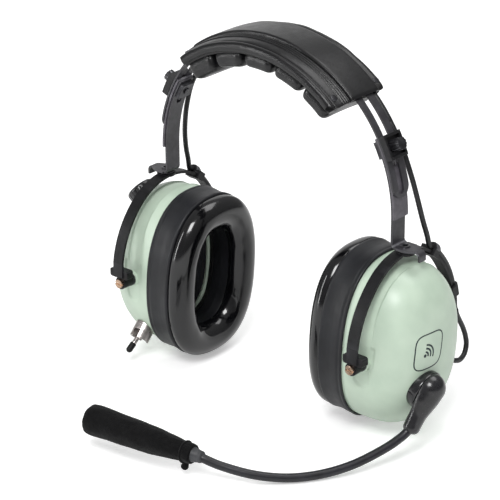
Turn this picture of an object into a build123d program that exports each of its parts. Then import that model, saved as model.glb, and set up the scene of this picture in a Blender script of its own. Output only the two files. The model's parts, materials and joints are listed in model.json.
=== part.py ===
from build123d import *
import math
import os

os.makedirs("parts", exist_ok=True)

# Aviation headset with a boom microphone, millimetres, +Z up.
# Origin: midway between the two ear cups, 4.5 above the cup pivots.
# +X is the wearer's left (the cup that carries the boom), -Y is forward.
# Paired parts are modelled on the left and mirrored to the right.
# A "line" below is a pair: a point and a unit direction.

RUN = 0.05                             # radial running clearance
Z_DIR = Vector(0, 0, 1)

# Headband: radii are from the arch centre, angles in degrees up from +X
ARCH_Z = 70.0                          # height of the arch centre
LEAF_IN, LEAF_OUT = 85.40, 86.60       # spring leaf
LEAF_HW = 6.85                         # half width of the leaf
LEAF_SLOT_HW = 2.25                    # half width of its adjusting slot
LEAF_END = 8.0                         # angle where the leaf ends
SLOT_END, SLOT_TOP = 9.5, 56.0         # angles of the slot ends
PAD_ARC = (47.0, 129.5)                # angles of the head pad's two ends
PAD_FRONT, PAD_REAR = -26.2, 19.6      # the pad stands further forward than back
PAD_TOP = 89.2                         # radius of the raised strip on the pad
COVER_IN = 82.2                        # inner radius of the pad cover
STRIP_HW = 12.5                        # half width of the raised strip
WING_OUT = 86.9                        # outer radius of the cover's side wings

# Hanger strap, backing plate and clamp
CLAMP_A = 27.0                         # arch angle of the clamp
STRAP_IN, STRAP_OUT = 82.50, 83.85
STRAP_T = STRAP_OUT - STRAP_IN
STRAP_HW = 5.4
STRAP_TOP = 31.5                       # arch angle of the upper end of strap and plate
STRAP_SLOT_END, STRAP_SLOT_HW = 19.6, 2.0
PLATE_IN, PLATE_OUT = 83.95, 85.30     # backing plate between strap and leaf
PLATE_HW = 6.1
BEND_R = 2.0                           # inside radius of the strap's bends
BEND_Z = 56.4                          # height where the strap starts to bend out
TAB_Z1 = BEND_Z - BEND_R               # top and bottom of the level tab
TAB_Z0 = TAB_Z1 - STRAP_T
HOOK_X = 97.2                          # where the tab turns down
SCREW_R = 1.9

# Stirrup and its swivel
RIVET = (Vector(88.6, 0, 0), Z_DIR)    # swivel axis
EYELET_R = 2.3
STIR_A, STIR_B = 43.9, 51.15           # centreline half width and height
STIR_R = 38.0                          # end radius of the centreline oval
STIR_T, STIR_W = 1.6, 7.0              # band thickness and width
STIR_XC = 87.4
STIR_X0, STIR_X1 = STIR_XC - STIR_W / 2, STIR_XC + STIR_W / 2
STIR_Z0, STIR_Z1 = STIR_B - STIR_T / 2, STIR_B + STIR_T / 2
STIR_FOOT = 8.0                        # height where the curved band ends
PIN_IN, PIN_OUT = 36.36, 43.3          # ends of the pivot bosses, from the middle

# Ear cups
CUP_X, CUP_Z = 71.6, -2.9              # plane of the dome's open rim, cup centre height
CUP_A, CUP_B = 34.15, 49.0             # half width and half height of the dome
END_R = 32.0                           # radius of the outline's ends
DOME_D, DOME_F = 41.2, 30.5            # dome depth and the radius of its shoulder
WALL = 2.2
SEAL_LIP = 1.47                        # the ear seal stands proud of the dome by this
SEAL_T = 26.4                          # whole seal thickness
PLATE_DEPTH = 2.5                      # seal plate, measured inward from the rim
OPEN_A, OPEN_B, OPEN_R = 18.2, 31.7, 16.5    # ear opening and its end radius
LIP_A, LIP_B, LIP_R = 16.9, 30.3, 15.2       # opening in the dome's own rim
PIV_X, PIV_Z = 86.3, -4.5
PIVOT = (Vector(PIV_X, 0, PIV_Z), Vector(0, 1, 0))     # cup pivot axis
PIVOT_R, PIVOT_TIP_R = 1.6, 1.25       # pivot screw and its thinner inner end
BOSS_OUT = 34.42                       # outer end of the dome's pivot bosses
CUP_TILT = 3.5                         # both cups lean this much about Y

# Cup parts are made in cup coordinates: x = Y of the headset, y = up from the
# cup centre, z = outward from the dome's rim.
CUP = Plane(origin=(CUP_X, 0, CUP_Z), x_dir=(0, 1, 0), z_dir=(1, 0, 0))
CUP_AXIS = (Vector(0, 0, 0), Z_DIR)
CUP_PIVOT = (Vector(0, PIV_Z - CUP_Z, PIV_X - CUP_X), Vector(1, 0, 0))

# Boom and microphone
BOOM_C = Vector(111.2, -9.3, -21.8)    # centre of the boom swivel on the dome
BOOM_N = Vector(0.9555, 0, -0.2951).normalized()
SWIVEL = (BOOM_C, BOOM_N)
BARREL_R = 4.5
SEAT_R = 11.8
BOOM_END = Vector(112.6, -23.1, -39.65)      # mouth of the elbow's sleeve
BULB_C = BOOM_C + BOOM_N * 3.5 + Vector(1.34, -1.26, 4.34)   # off the swivel axis
BULB_R = 8.6
SLEEVE_R = 4.75
SLEEVE_DIR = (BOOM_END - BULB_C).normalized()
TUBE_R = 2.5
BALL_R = 3.4
BOOM_START_DIR = Vector(-0.26, -0.88, -0.40).normalized()
# x, y, z of points along the boom, from the elbow forward
BOOM_PATH = [(107.0, -40.4, -47.4), (99.5, -57.1, -52.4), (90.1, -73.0, -54.9),
             (79.1, -87.5, -54.9), (66.5, -100.3, -52.2), (52.0, -110.6, -47.6)]
MUFF_0 = Vector(36.0, -117.4, -42.8)   # ends of the muff's axis
MUFF_1 = Vector(-31.6, -125.4, -41.6)
MUFF_L = (MUFF_1 - MUFF_0).length
MIC_DIR = (MUFF_1 - MUFF_0).normalized()
MIC = (MUFF_0, MIC_DIR)

# Switch and volume knob, on the right cup
SWITCH_DIR = Vector(0, -0.682, -0.731).normalized()
SWITCH = (Vector(-84.0, -25.3, -37.6), SWITCH_DIR)
SWITCH_R = 3.0
LEVER_TILT = math.radians(12.0)        # the lever leans forward and up from the axis
LEVER_L = 11.9
KNOB_DIR = Vector(-0.76, -0.04, 0.65).normalized()
KNOB = (Vector(-107.8, 3.2, 29.4), KNOB_DIR)
POT_R, SHAFT_R = 3.5, 1.55

# Cord
CORD_R = 1.5
CORD_Y = 9.7
CORD_ARCH_R = 84.6                     # arch radius of the cord in the headband
CROWN_A = 35.0                         # arch angle where the crown run ends
CLIP_A, RING_A = 57.0, 15.0            # arm angles of the cord's two holders
GROMMET_0 = Vector(91.6, 27.6, -24.6)  # inner and outer ends, cup untilted
GROMMET_1 = Vector(92.6, 36.2, -26.6)
GROMMET_DIR = (GROMMET_1 - GROMMET_0).normalized()
GROMMET_R = 2.6


# --------------------------------------------------------------------- helpers
def polar(radius, angle, y=0.0):
    angle = math.radians(angle)
    return Vector(radius * math.cos(angle), y, ARCH_Z + radius * math.sin(angle))


def sector(r_in, r_out, a0, a1, y0, y1):
    """Slab of the arch between two radii, two angles and two y, in either order."""
    y0, y1 = sorted((y0, y1))
    mid = (a0 + a1) / 2
    outline = Wire([
        Edge.make_three_point_arc(polar(r_out, a0, y0), polar(r_out, mid, y0),
                                  polar(r_out, a1, y0)),
        Edge.make_line(polar(r_out, a1, y0), polar(r_in, a1, y0)),
        Edge.make_three_point_arc(polar(r_in, a1, y0), polar(r_in, mid, y0),
                                  polar(r_in, a0, y0)),
        Edge.make_line(polar(r_in, a0, y0), polar(r_out, a0, y0)),
    ])
    return Solid.extrude(Face(outline), Vector(0, y1 - y0, 0))


def radial(angle, r, r_in, r_out, y=0.0):
    """Cylinder of radius r that points away from the arch centre."""
    start = polar(r_in, angle, y)
    out = (polar(r_out, angle, y) - start).normalized()
    return Solid.make_cylinder(r, r_out - r_in, Plane(origin=start, x_dir=(0, 1, 0), z_dir=out))


def cyl(p0, p1, r):
    p0, p1 = Vector(*p0), Vector(*p1)
    d = p1 - p0
    return Solid.make_cylinder(r, d.length, Plane(origin=p0, z_dir=d.normalized()))


def cone(p0, p1, r0, r1):
    p0, p1 = Vector(*p0), Vector(*p1)
    d = p1 - p0
    return Solid.make_cone(r0, r1, d.length, Plane(origin=p0, z_dir=d.normalized()))


def along(line, h):
    return line[0] + line[1] * h


def rod(line, h0, h1, r):
    return cyl(along(line, h0), along(line, h1), r)


def taper(line, h0, h1, r0, r1):
    return cone(along(line, h0), along(line, h1), r0, r1)


def box(x0, x1, y0, y1, z0, z1):
    """Box between two corners; y0 and y1 may be in either order."""
    y0, y1 = sorted((y0, y1))
    return Solid.make_box(x1 - x0, y1 - y0, z1 - z0, Plane(origin=(x0, y0, z0)))


def ball(centre, r):
    return Solid.make_sphere(r, Plane(origin=centre))


def tube(points, r):
    """Round bar along a chain of points, with balls at the inner corners."""
    pts = [Vector(*p) for p in points]
    body = cyl(pts[0], pts[1], r)
    for start, end in zip(pts[1:-1], pts[2:]):
        body = body + ball(start, r) + cyl(start, end, r)
    return body


def side_radius(A, B, r):
    """Radius of an oval's two flatter side arcs."""
    return (A * A - r * r + (B - r) ** 2) / (2 * (A - r))


def oval(A, B, r, z):
    """Outline of four tangent arcs: half width A, half height B, end radius r."""
    R = side_radius(A, B, r)
    k = R / (R - r)
    tx, ty = -(R - A) + (R - A) * k, (B - r) * k
    arc = Edge.make_three_point_arc
    return Wire([arc((tx, -ty, z), (A, 0, z), (tx, ty, z)),
                 arc((tx, ty, z), (0, B, z), (-tx, ty, z)),
                 arc((-tx, ty, z), (-A, 0, z), (-tx, -ty, z)),
                 arc((-tx, -ty, z), (0, -B, z), (tx, -ty, z))])


def prism(A, B, z0, z1, r=None):
    r = END_R + (B - CUP_B) if r is None else r
    return Solid.extrude(Face(oval(A, B, r, z0)), Vector(0, 0, z1 - z0))


def in_cup(shape):
    return CUP.location * shape


def tilt(shape, side=1):
    """Lean about the cup pivot; side is 1 for left and -1 for right."""
    return shape.rotate(Axis((side * PIV_X, 0, PIV_Z), (0, 1, 0)), CUP_TILT)


def other(shape):
    return shape.mirror(Plane.YZ)


def solids(shape):
    if isinstance(shape, (list, tuple)):
        return [s for item in shape for s in solids(item)]
    return list(shape.solids())


def largest(shape):
    return max(solids(shape), key=lambda s: s.volume)


def save(name, shape):
    got = solids(shape)
    part = got[0] if len(got) == 1 else Compound(children=got)
    part.label = name
    export_step(part, "parts/%s.step" % name)


def save_pair(name, shape):
    save(name + "_left", shape)
    save(name + "_right", [other(s) for s in solids(shape)])


def save_cup_pair(name, shape):
    got = solids(shape)
    save(name + "_left", [tilt(s) for s in got])
    save(name + "_right", [tilt(other(s), -1) for s in got])


# -------------------------------------------------------------------- headband
def headband_leaf():
    end = LEAF_END + math.degrees(LEAF_HW / LEAF_OUT)
    slot_end = SLOT_END + math.degrees(LEAF_SLOT_HW / LEAF_OUT)
    r0, r1 = LEAF_IN - 2, LEAF_OUT + 2
    half = sector(LEAF_IN, LEAF_OUT, end, 90, -LEAF_HW, LEAF_HW)
    half += radial(end, LEAF_HW, r0, r1) & sector(LEAF_IN, LEAF_OUT, 0, 60, -10, 10)
    half -= sector(r0, r1, slot_end, SLOT_TOP, -LEAF_SLOT_HW, LEAF_SLOT_HW)
    half -= radial(slot_end, LEAF_SLOT_HW, r0, r1)
    half = largest(half)
    return half + other(half)


def head_pad_cover():
    """Sleeve wrapped round the leaf, with front and rear wings and a cord channel."""
    rim, rim_in, rim_out = 2.2, 80.2, 85.6
    cover = sector(LEAF_OUT + 0.1, PAD_TOP, *PAD_ARC, -STRIP_HW, STRIP_HW)
    cover += sector(COVER_IN, 85.2, *PAD_ARC, -STRIP_HW, STRIP_HW)
    for side, edge in ((-1, PAD_FRONT), (1, PAD_REAR)):
        y_in, y_rim = side * 7.1, edge - side * rim
        cover += sector(COVER_IN, WING_OUT, *PAD_ARC, y_in, y_rim)
        cover += sector(COVER_IN, PAD_TOP, *PAD_ARC, y_in, side * STRIP_HW)
        cover += sector(rim_in, rim_out, *PAD_ARC, y_rim, edge)
    return cover - sector(82.9, 86.3, PAD_ARC[0] - 1, PAD_ARC[1] + 1, 8.0, 11.4)


def head_pad_cushion():
    """Backing under the cover and a row of pillows with gaps between them."""
    count, gap, end_gap = 5, 1.2, 0.4
    a0, a1 = PAD_ARC
    step = (a1 - a0) / count
    cushion = sector(78.0, 82.1, a0, a1, PAD_FRONT + 2.4, PAD_REAR - 2.4)
    for i in range(count):
        start = a0 + i * step + (gap if i else end_gap)
        end = a0 + (i + 1) * step - (gap if i < count - 1 else end_gap)
        cushion += sector(71.0, 78.5, start, end, PAD_FRONT + 3.2, PAD_REAR - 3.2)
    return cushion


def pad_snaps():
    return [radial(angle, 2.2, WING_OUT + 0.05, 87.9, y)
            for y in (-20.5, 15.1) for angle in (PAD_ARC[0] + 4, PAD_ARC[1] - 4)]


def cord_crown():
    """Crossover cord inside the pad and along the leaf's rear edge."""
    ends = [polar(CORD_ARCH_R, a, CORD_Y) for a in (CROWN_A, 90, 180 - CROWN_A)]
    arc = Wire([Edge.make_three_point_arc(*ends)])
    circle = Wire.make_circle(CORD_R, Plane(origin=arc @ 0, z_dir=arc % 0))
    return Solid.sweep(Face(circle), arc)


# ------------------------------------------------------------ hanger and clamp
def bend_ring(x, z, half_width):
    ends = (x, -half_width, z), (x, half_width, z)
    return cyl(*ends, BEND_R + STRAP_T) - cyl(*ends, BEND_R)


def strap_slot():
    r0, r1 = STRAP_IN - 2, PLATE_OUT + 2
    end = STRAP_SLOT_END + math.degrees(STRAP_SLOT_HW / STRAP_OUT)
    return (sector(r0, r1, end, CLAMP_A, -STRAP_SLOT_HW, STRAP_SLOT_HW)
            + radial(end, STRAP_SLOT_HW, r0, r1))


def screw_hole():
    return radial(CLAMP_A, SCREW_R + RUN, STRAP_IN - 6, 99)


def rivet_hole(r):
    return rod(RIVET, 40, 60, r)


def hanger_strap():
    """Strap that bends out into a tapered level tab, then hooks down at its end."""
    tab_x0 = STRAP_OUT + BEND_R
    tab_hw = STRAP_HW + 0.5
    hook_hw = 2.8
    hook_z = TAB_Z0 - BEND_R
    strap = sector(STRAP_IN, STRAP_OUT, 0, STRAP_TOP, -STRAP_HW, STRAP_HW)
    strap += box(STRAP_IN, STRAP_OUT, -STRAP_HW, STRAP_HW, BEND_Z, ARCH_Z)
    bend = (bend_ring(tab_x0, BEND_Z, STRAP_HW)
            & box(STRAP_IN - 1, tab_x0, -20, 20, TAB_Z0 - 1, BEND_Z))
    tab = box(tab_x0, HOOK_X, -tab_hw, tab_hw, TAB_Z0, TAB_Z1)
    for side in (-1, 1):
        corners = [(91.6, 6.0), (98.2, 2.6), (98.2, 8), (91.6, 8)]   # x, distance from middle
        outline = Wire.make_polygon([(x, side * y, TAB_Z0 - 1) for x, y in corners])
        tab -= Solid.extrude(Face(outline), Vector(0, 0, 4))
    hook = (bend_ring(HOOK_X, hook_z, hook_hw)
            & box(HOOK_X, HOOK_X + 6, -5, 5, hook_z, TAB_Z1 + 1))
    hook += box(HOOK_X + BEND_R, HOOK_X + BEND_R + STRAP_T, -hook_hw, hook_hw,
                hook_z - 2.4, hook_z)
    hanger = strap + bend + tab + hook
    return hanger - strap_slot() - screw_hole() - rivet_hole(EYELET_R + 0.01)


def backing_plate():
    plate = sector(PLATE_IN, PLATE_OUT, 0.2, STRAP_TOP, -PLATE_HW, PLATE_HW)
    return plate - strap_slot() - screw_hole()


def clamp_block():
    """Rectangular cup outside the leaf, with a key that rides in the leaf's slot."""
    half, rim, key_half = 4.5, 1.1, 2.2          # arch angles
    key_hw = LEAF_SLOT_HW - 0.06
    a = CLAMP_A
    block = sector(LEAF_OUT + 0.06, 90.8, a - half, a + half, -7.1, 7.1)
    pocket = sector(88.3, 95, a - half + rim, a + half - rim, -5.6, 5.6)
    key = sector(LEAF_IN + 0.02, LEAF_OUT + 0.2, a - key_half, a + key_half, -key_hw, key_hw)
    return block - pocket + key - screw_hole()


def clamp_screw():
    flutes, flute_r, flute_pitch_r = 12, 0.55, 3.75
    tilt_a = math.radians(CLAMP_A)
    across, up = Vector(0, 1, 0), Vector(-math.sin(tilt_a), 0, math.cos(tilt_a))
    out = (polar(90, CLAMP_A) - polar(89, CLAMP_A)).normalized()
    head = radial(CLAMP_A, 3.5, 88.45, 95.4)
    for i in range(flutes):
        b = math.radians(360 / flutes * i)
        offset = across * (flute_pitch_r * math.cos(b)) + up * (flute_pitch_r * math.sin(b))
        start = Plane(origin=polar(88.0, CLAMP_A) + offset, z_dir=out)
        head -= Solid.make_cylinder(flute_r, 9, start)
    return head + radial(CLAMP_A, SCREW_R, 79.2, 89)


def clamp_nut():
    nut = sector(80.0, STRAP_IN - 0.06, CLAMP_A - 3.4, CLAMP_A + 3.4, -4.8, 4.8)
    return nut - screw_hole()


# --------------------------------------------------------- swivel and stirrup
def swivel_washer():
    return rod(RIVET, STIR_Z1 + 0.04, TAB_Z0 - 0.04, 4.6) - rivet_hole(EYELET_R + RUN)


def swivel_eyelet():
    flange = 0.5, 4.0                  # thickness, radius of the lower flange
    roll = 0.6, 2.7                    # the same for the upper one
    low, high = STIR_Z0 - 0.05, TAB_Z1 + 0.02
    eyelet = rod(RIVET, low - flange[0], high + roll[0], EYELET_R)
    eyelet += rod(RIVET, low - flange[0], low, flange[1])
    eyelet += rod(RIVET, high, high + roll[0], roll[1])
    return eyelet - rivet_hole(1.5)


def stirrup_band(x0, x1):
    t = STIR_T / 2
    ring = (prism(STIR_A + t, STIR_B + t, 0, x1 - x0, STIR_R + t)
            - prism(STIR_A - t, STIR_B - t, 0, x1 - x0, STIR_R - t))
    plane = Plane(origin=(x0, 0, 0), x_dir=(0, 1, 0), z_dir=(1, 0, 0))
    return (plane.location * ring) - box(x0 - 5, x1 + 5, -60, 60, -80, STIR_FOOT)


def stirrup():
    R = side_radius(STIR_A, STIR_B, STIR_R)
    foot_y = math.sqrt(R * R - STIR_FOOT ** 2) - (R - STIR_A)
    pad_r = 5.4
    body = stirrup_band(STIR_X0, STIR_X1)
    body = (body + rod(RIVET, STIR_Z0, STIR_Z1, pad_r)
            - rod(RIVET, STIR_Z0 - 3, STIR_Z0, pad_r))
    for side in (-1, 1):
        body += box(STIR_X0, STIR_X1, side * (foot_y - STIR_T / 2), side * (foot_y + STIR_T / 2),
                    -0.6, STIR_FOOT + 0.3)
        bar = box(80.6, 94.3, side * 38.4, side * PIN_OUT, -1.6, 3.6)
        body += bar.fillet(1.4, bar.edges().filter_by(Axis.Y))
        body += rod(PIVOT, side * PIN_IN, side * PIN_OUT, 3.8)
        body -= rod(PIVOT, side * 30, side * 50, PIVOT_R + RUN)
    return body - rivet_hole(EYELET_R + RUN)


# ------------------------------------------------------------ cord on the arm
def arm_point(angle, offset):
    """Point beside the rear arm, offset outward from its centreline."""
    z = STIR_B * math.sin(math.radians(angle))
    R = side_radius(STIR_A, STIR_B, STIR_R)
    if z <= (STIR_B - STIR_R) * R / (R - STIR_R):
        cy, cz, r = -(R - STIR_A), 0.0, R
    else:
        cy, cz, r = 0.0, STIR_B - STIR_R, STIR_R
    y = cy + math.sqrt(r * r - (z - cz) ** 2)
    return Vector(89.2, y + offset * (y - cy) / r, z + offset * (z - cz) / r)


CORD_OFF = STIR_T / 2 + CORD_R + 0.25
ARM_PATH = [arm_point(a, CORD_OFF) for a in (61, CLIP_A, 50, 42, 34, 26, 20, RING_A, 9)]


def cord_arm():
    return tube(ARM_PATH, CORD_R)


def cord_band(angle, length, r_out):
    """Sleeve round the cord joined to a flat loop round the arm."""
    centre = arm_point(angle, CORD_OFF)
    d = (arm_point(angle - 2, CORD_OFF) - centre).normalized()
    body = Solid.make_cylinder(r_out, length, Plane(origin=centre - d * (length / 2), z_dir=d))
    mid = arm_point(angle, 0)
    out = (arm_point(angle, 1) - mid).normalized()
    plane = Plane(origin=Vector(STIR_XC, mid.Y, mid.Z), x_dir=(1, 0, 0), z_dir=out)
    half_w, z0 = (STIR_W + 3.0) / 2, -(STIR_T + 2.4) / 2
    loop = box(-half_w, half_w, -length / 2, length / 2, z0, z0 + STIR_T + 3.4)
    return body + plane.location * loop


def cord_clips():
    """Clip near the top of the arm and ring low on it."""
    band_cut = stirrup_band(STIR_X0 - 0.02, STIR_X1 + 0.02)
    body = stirrup()
    cord_cut = tube(ARM_PATH, CORD_R + 0.03)
    return [largest(cord_band(angle, length, r) - band_cut - body - cord_cut)
            for angle, length, r in ((CLIP_A, 5.2, 2.9), (RING_A, 6.6, 2.6))]


def cord_span():
    """Free run of the cord from the leaf to the clip."""
    a = math.radians(CROWN_A)
    top, top_dir = polar(CORD_ARCH_R, CROWN_A, CORD_Y), Vector(math.sin(a), 0, -math.cos(a))
    end, end_dir = ARM_PATH[0], (ARM_PATH[1] - ARM_PATH[0]).normalized()
    path = [(77.0, 10.3, 105.6), (80.6, 11.2, 96.0), (83.6, 12.4, 86.0),
            (86.2, 14.2, 74.0), (87.8, 16.6, 63.0), (88.7, 19.2, 54.5)]     # x, y, z
    return tube([top + top_dir * 0.05, top + top_dir * 4] + path
                + [end - end_dir * 2.2, end - end_dir * 0.05], CORD_R)


def cord_loop(side):
    """Cord from the ring round into the rear of the tilted cup."""
    path = [(88.9, 46.8, 2.5), (88.7, 48.9, -3.0), (88.7, 52.0, -8.5),
            (89.1, 55.3, -14.5), (89.7, 57.3, -20.5), (90.5, 57.2, -25.6),
            (91.4, 54.4, -29.8), (92.3, 49.2, -31.4), (92.8, 44.0, -30.0)]  # x, y, z
    start = ARM_PATH[-1]
    d = (start - ARM_PATH[-2]).normalized()
    points = [start + d * 0.05, start + d * 2.5] + [Vector(*p) for p in path]
    points = [Vector(side * p.X, p.Y, p.Z) for p in points]
    for p in (GROMMET_1 + GROMMET_DIR * 3.2, GROMMET_1 + GROMMET_DIR * 0.5,
              GROMMET_0 - GROMMET_DIR * 0.8):
        points.append(tilt(Vertex(side * p.X, p.Y, p.Z), side).center())
    return tube(points, CORD_R)


# ----------------------------------------------------------------------- cups
def dome(inset, z0=0.0):
    body = prism(CUP_A - inset, CUP_B - inset, z0, DOME_D - inset)
    top = [e for e in body.edges() if e.center().Z > DOME_D - inset - 0.01]
    return body.fillet(DOME_F - inset, top)


def cup_shell():
    """Hollow left dome, untilted, with pivot bosses and the grommet hole."""
    shell = dome(0) - dome(WALL, WALL) - prism(LIP_A, LIP_B, -1, WALL + 1, LIP_R)
    for side in (-1, 1):
        shell += rod(CUP_PIVOT, side * 27.5, side * BOSS_OUT, 4.3)
    for side in (-1, 1):
        shell -= rod(CUP_PIVOT, side * 29.5, side * 40, PIVOT_TIP_R + 0.01)
    return in_cup(shell) - cyl(GROMMET_0 - GROMMET_DIR * 6, GROMMET_1, GROMMET_R + 0.02)


def dome_left():
    return tilt(cup_shell()) - rod(SWIVEL, -14, 10, BARREL_R + RUN)


def dome_right():
    shell = tilt(other(cup_shell()), -1) - rod(SWITCH, -12, 14, SWITCH_R + RUN)
    return shell - rod(KNOB, -12, 14, POT_R + RUN)


def cord_grommet():
    """Collared sleeve through the dome's rear."""
    p0, p1, d = GROMMET_0, GROMMET_1, GROMMET_DIR
    grommet = cyl(p0 - d * 1.0, p1, GROMMET_R) + cyl(p0 + d * 3.4, p0 + d * 5.4, 3.8)
    grommet -= cyl(p0 - d * 6, p1 + d * 6, CORD_R + 0.02)
    collar_cut = in_cup(dome(0)) - cyl(p0 - d * 8, p1 + d * 8, GROMMET_R + 0.01)
    return largest(grommet - collar_cut)


def seal_plate():
    plate = prism(CUP_A + 0.1, CUP_B + 0.1, -PLATE_DEPTH, -0.02)
    return in_cup(plate - prism(OPEN_A, OPEN_B, -5, 5, OPEN_R))


def ear_seal():
    seal = prism(CUP_A + SEAL_LIP, CUP_B + SEAL_LIP, -SEAL_T, 1.2)
    rim = [e for e in seal.edges() if e.center().Z < -SEAL_T + 0.01]
    seal = seal.fillet(8.0, rim)
    seal -= prism(CUP_A + 0.12, CUP_B + 0.12, -PLATE_DEPTH - 0.02, 3)
    return in_cup(seal - prism(OPEN_A, OPEN_B, -40, 5, OPEN_R))


def foam_filter():
    return in_cup(prism(19.6, 33.0, WALL + 0.05, 6.0, 17.8))


def earphone():
    ear = rod(CUP_AXIS, 9, 12, 21) + rod(CUP_AXIS, 12, 21, 17) + rod(CUP_AXIS, 21, 23.5, 9)
    return in_cup(ear - rod(CUP_AXIS, 8.9, 10.5, 19.4))


def pivot_screws():
    screws = []
    slot_hw = 0.45
    for side in (-1, 1):
        shank = rod(PIVOT, side * 34.45, side * 43.4, PIVOT_R)
        shank += rod(PIVOT, side * 30.0, side * 34.6, PIVOT_TIP_R)
        head = rod(PIVOT, side * (PIN_OUT + 0.06), side * (PIN_OUT + 1.7), 2.7)
        head -= box(PIV_X - 4, PIV_X + 4, side * (PIN_OUT + 0.9), side * (PIN_OUT + 3),
                    PIV_Z - slot_hw, PIV_Z + slot_hw)
        screws.append(head + shank)
    return screws


def pivot_washers():
    return [rod(PIVOT, side * (BOSS_OUT + 0.02), side * (PIN_IN - 0.03), 4.0)
            - rod(PIVOT, side * 30, side * 40, PIVOT_R + 0.01) for side in (-1, 1)]


# -------------------------------------------------------- boom and microphone
def boom_seat():
    """Round seat under the elbow, shaped to the dome."""
    blank = rod(SWIVEL, -9, 1.9, SEAT_R) - rod(SWIVEL, -14, 10, BARREL_R + RUN)
    return largest(blank - tilt(in_cup(dome(0))))


def boom_elbow():
    elbow = rod(SWIVEL, 2.0, 4.6, 9.6) + ball(BULB_C, BULB_R)
    elbow += cone(BULB_C, BOOM_END, 7.6, SLEEVE_R)
    elbow -= rod(SWIVEL, -14, 2.0, 40)
    # clear of the dome as it swings
    elbow -= rod(SWIVEL, -14, 2.6, 40) - rod(SWIVEL, -15, 4, 9.9)
    elbow += rod(SWIVEL, -7.0, 2.5, BARREL_R)
    return elbow - ball(BOOM_END, BALL_R + RUN)


def elbow_retainer():
    return rod(SWIVEL, -6.4, -5.4, 6.4) - rod(SWIVEL, -10, 0, BARREL_R + 0.01)


def boom_tube():
    """Curved tube with a ball end in the sleeve's mouth."""
    steps = 14
    knots = [BOOM_END] + [Vector(*p) for p in BOOM_PATH] + [along(MIC, -9)]
    curve = Edge.make_spline(knots, tangents=[BOOM_START_DIR, MIC_DIR])
    points = [curve @ (i / steps) for i in range(steps + 1)] + [MUFF_0]
    boom = tube(points, TUBE_R) + ball(BOOM_END, BALL_R)
    boom += rod(MIC, -0.3, 14, TUBE_R)
    keep_out = cyl(BOOM_END - SLEEVE_DIR * 8, BOOM_END, 3.6) - ball(BOOM_END, BALL_R)
    return largest(boom - keep_out)


def mic_collar():
    return largest(taper(MIC, -8.0, -0.1, 3.3, 4.9) - rod(MIC, -9, 1, TUBE_R + 0.05))


def microphone():
    return rod(MIC, 12, 52, 5.6) - rod(MIC, 0, 14.02, TUBE_R + 0.01)


def mic_muff():
    swell, tip = 30, MUFF_L - 3        # where the taper changes
    muff = (taper(MIC, 0, swell, 5.4, 8.2) + taper(MIC, swell, tip, 8.2, 8.9)
            + taper(MIC, tip, MUFF_L, 8.9, 7.2))
    return muff - rod(MIC, 11.9, 52.1, 5.7) - rod(MIC, -2, 14, TUBE_R + 0.05)


def muff_tie():
    """Ring round the muff's root with a short tail hanging down."""
    centre, half, tail_r = 3.0, 0.9, 1.5
    muff_cut = taper(MIC, -2, 10, 5.26 + 0.05, 6.38 + 0.05)
    tie = rod(MIC, centre - half, centre + half, 6.6) - muff_cut
    middle = along(MIC, centre)
    tail_end = middle + Vector(-1.5, 0, -10.5)
    tail = cyl(middle + Vector(0, 0, -6.0), tail_end, tail_r) + ball(tail_end, tail_r)
    return tie + (tail - muff_cut)


# ------------------------------------------------- right cup: switch and knob
ACROSS = Vector(1, 0, 0)
LEVER_DIR = (SWITCH_DIR * math.cos(LEVER_TILT)
             - ACROSS.cross(SWITCH_DIR).normalized() * math.sin(LEVER_TILT)).normalized()
LEVER_C = along(SWITCH, 1.6)
LEVER = (LEVER_C, LEVER_DIR)


def switch_guard():
    """Slotted tube round the lever, closed in round the switch body."""
    guard_r = 6.0
    guard = rod(SWITCH, -5, 9.0, guard_r) - rod(SWITCH, -7, 11, 4.7)
    slot = Plane(origin=along(SWITCH, 4.4), x_dir=ACROSS, z_dir=SWITCH_DIR)
    guard -= slot.location * box(-2.3, 2.3, -7, 7, 0, 6)
    guard += rod(SWITCH, -2, 1.8, guard_r) - rod(SWITCH, -7, 9, SWITCH_R + 0.02)
    return largest(guard - tilt(other(in_cup(dome(0))), -1))


def switch_body():
    return (rod(SWITCH, -12, -4.3, 4.6) + rod(SWITCH, -4.4, 3.6, SWITCH_R)
            - rod(SWITCH, -1.4, 8, 2.3))


def switch_lever():
    return ball(LEVER_C, 1.9) + taper(LEVER, 0, LEVER_L, 1.05, 1.5)


def switch_tip():
    start, length, r = LEVER_L + 0.05, 4.4, 1.9
    return rod(LEVER, start, start + length, r) + ball(along(LEVER, start + length), r)


def volume_knob():
    flutes, flute_r, flute_pitch_r = 18, 0.7, 9.1
    knob = rod(KNOB, 2.2, 8.2, 8.8)
    circles = knob.edges().filter_by(GeomType.CIRCLE)
    outermost = circles.sort_by(lambda e: (e.center() - KNOB[0]).dot(KNOB_DIR))[-1:]
    knob = knob.fillet(1.8, outermost)
    base = Plane(origin=along(KNOB, 1.8), z_dir=KNOB_DIR)
    for i in range(flutes):
        b = math.radians(360 / flutes * i)
        foot = base.location * Vertex(flute_pitch_r * math.cos(b), flute_pitch_r * math.sin(b), 0)
        knob -= Solid.make_cylinder(flute_r, 4.6, Plane(origin=foot.center(), z_dir=KNOB_DIR))
    knob -= rod(KNOB, 1, 6.4, 7.2) - rod(KNOB, 1, 7, 3.6)
    return largest(knob - rod(KNOB, 1, 6.45, SHAFT_R + 0.01))


def volume_shaft():
    return rod(KNOB, -3.2, 6.4, SHAFT_R)


def volume_pot():
    return (rod(KNOB, -11.5, -5.0, 6.0) + rod(KNOB, -5.1, 1.9, POT_R)
            - rod(KNOB, -3.25, 6, SHAFT_R + RUN))


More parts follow.
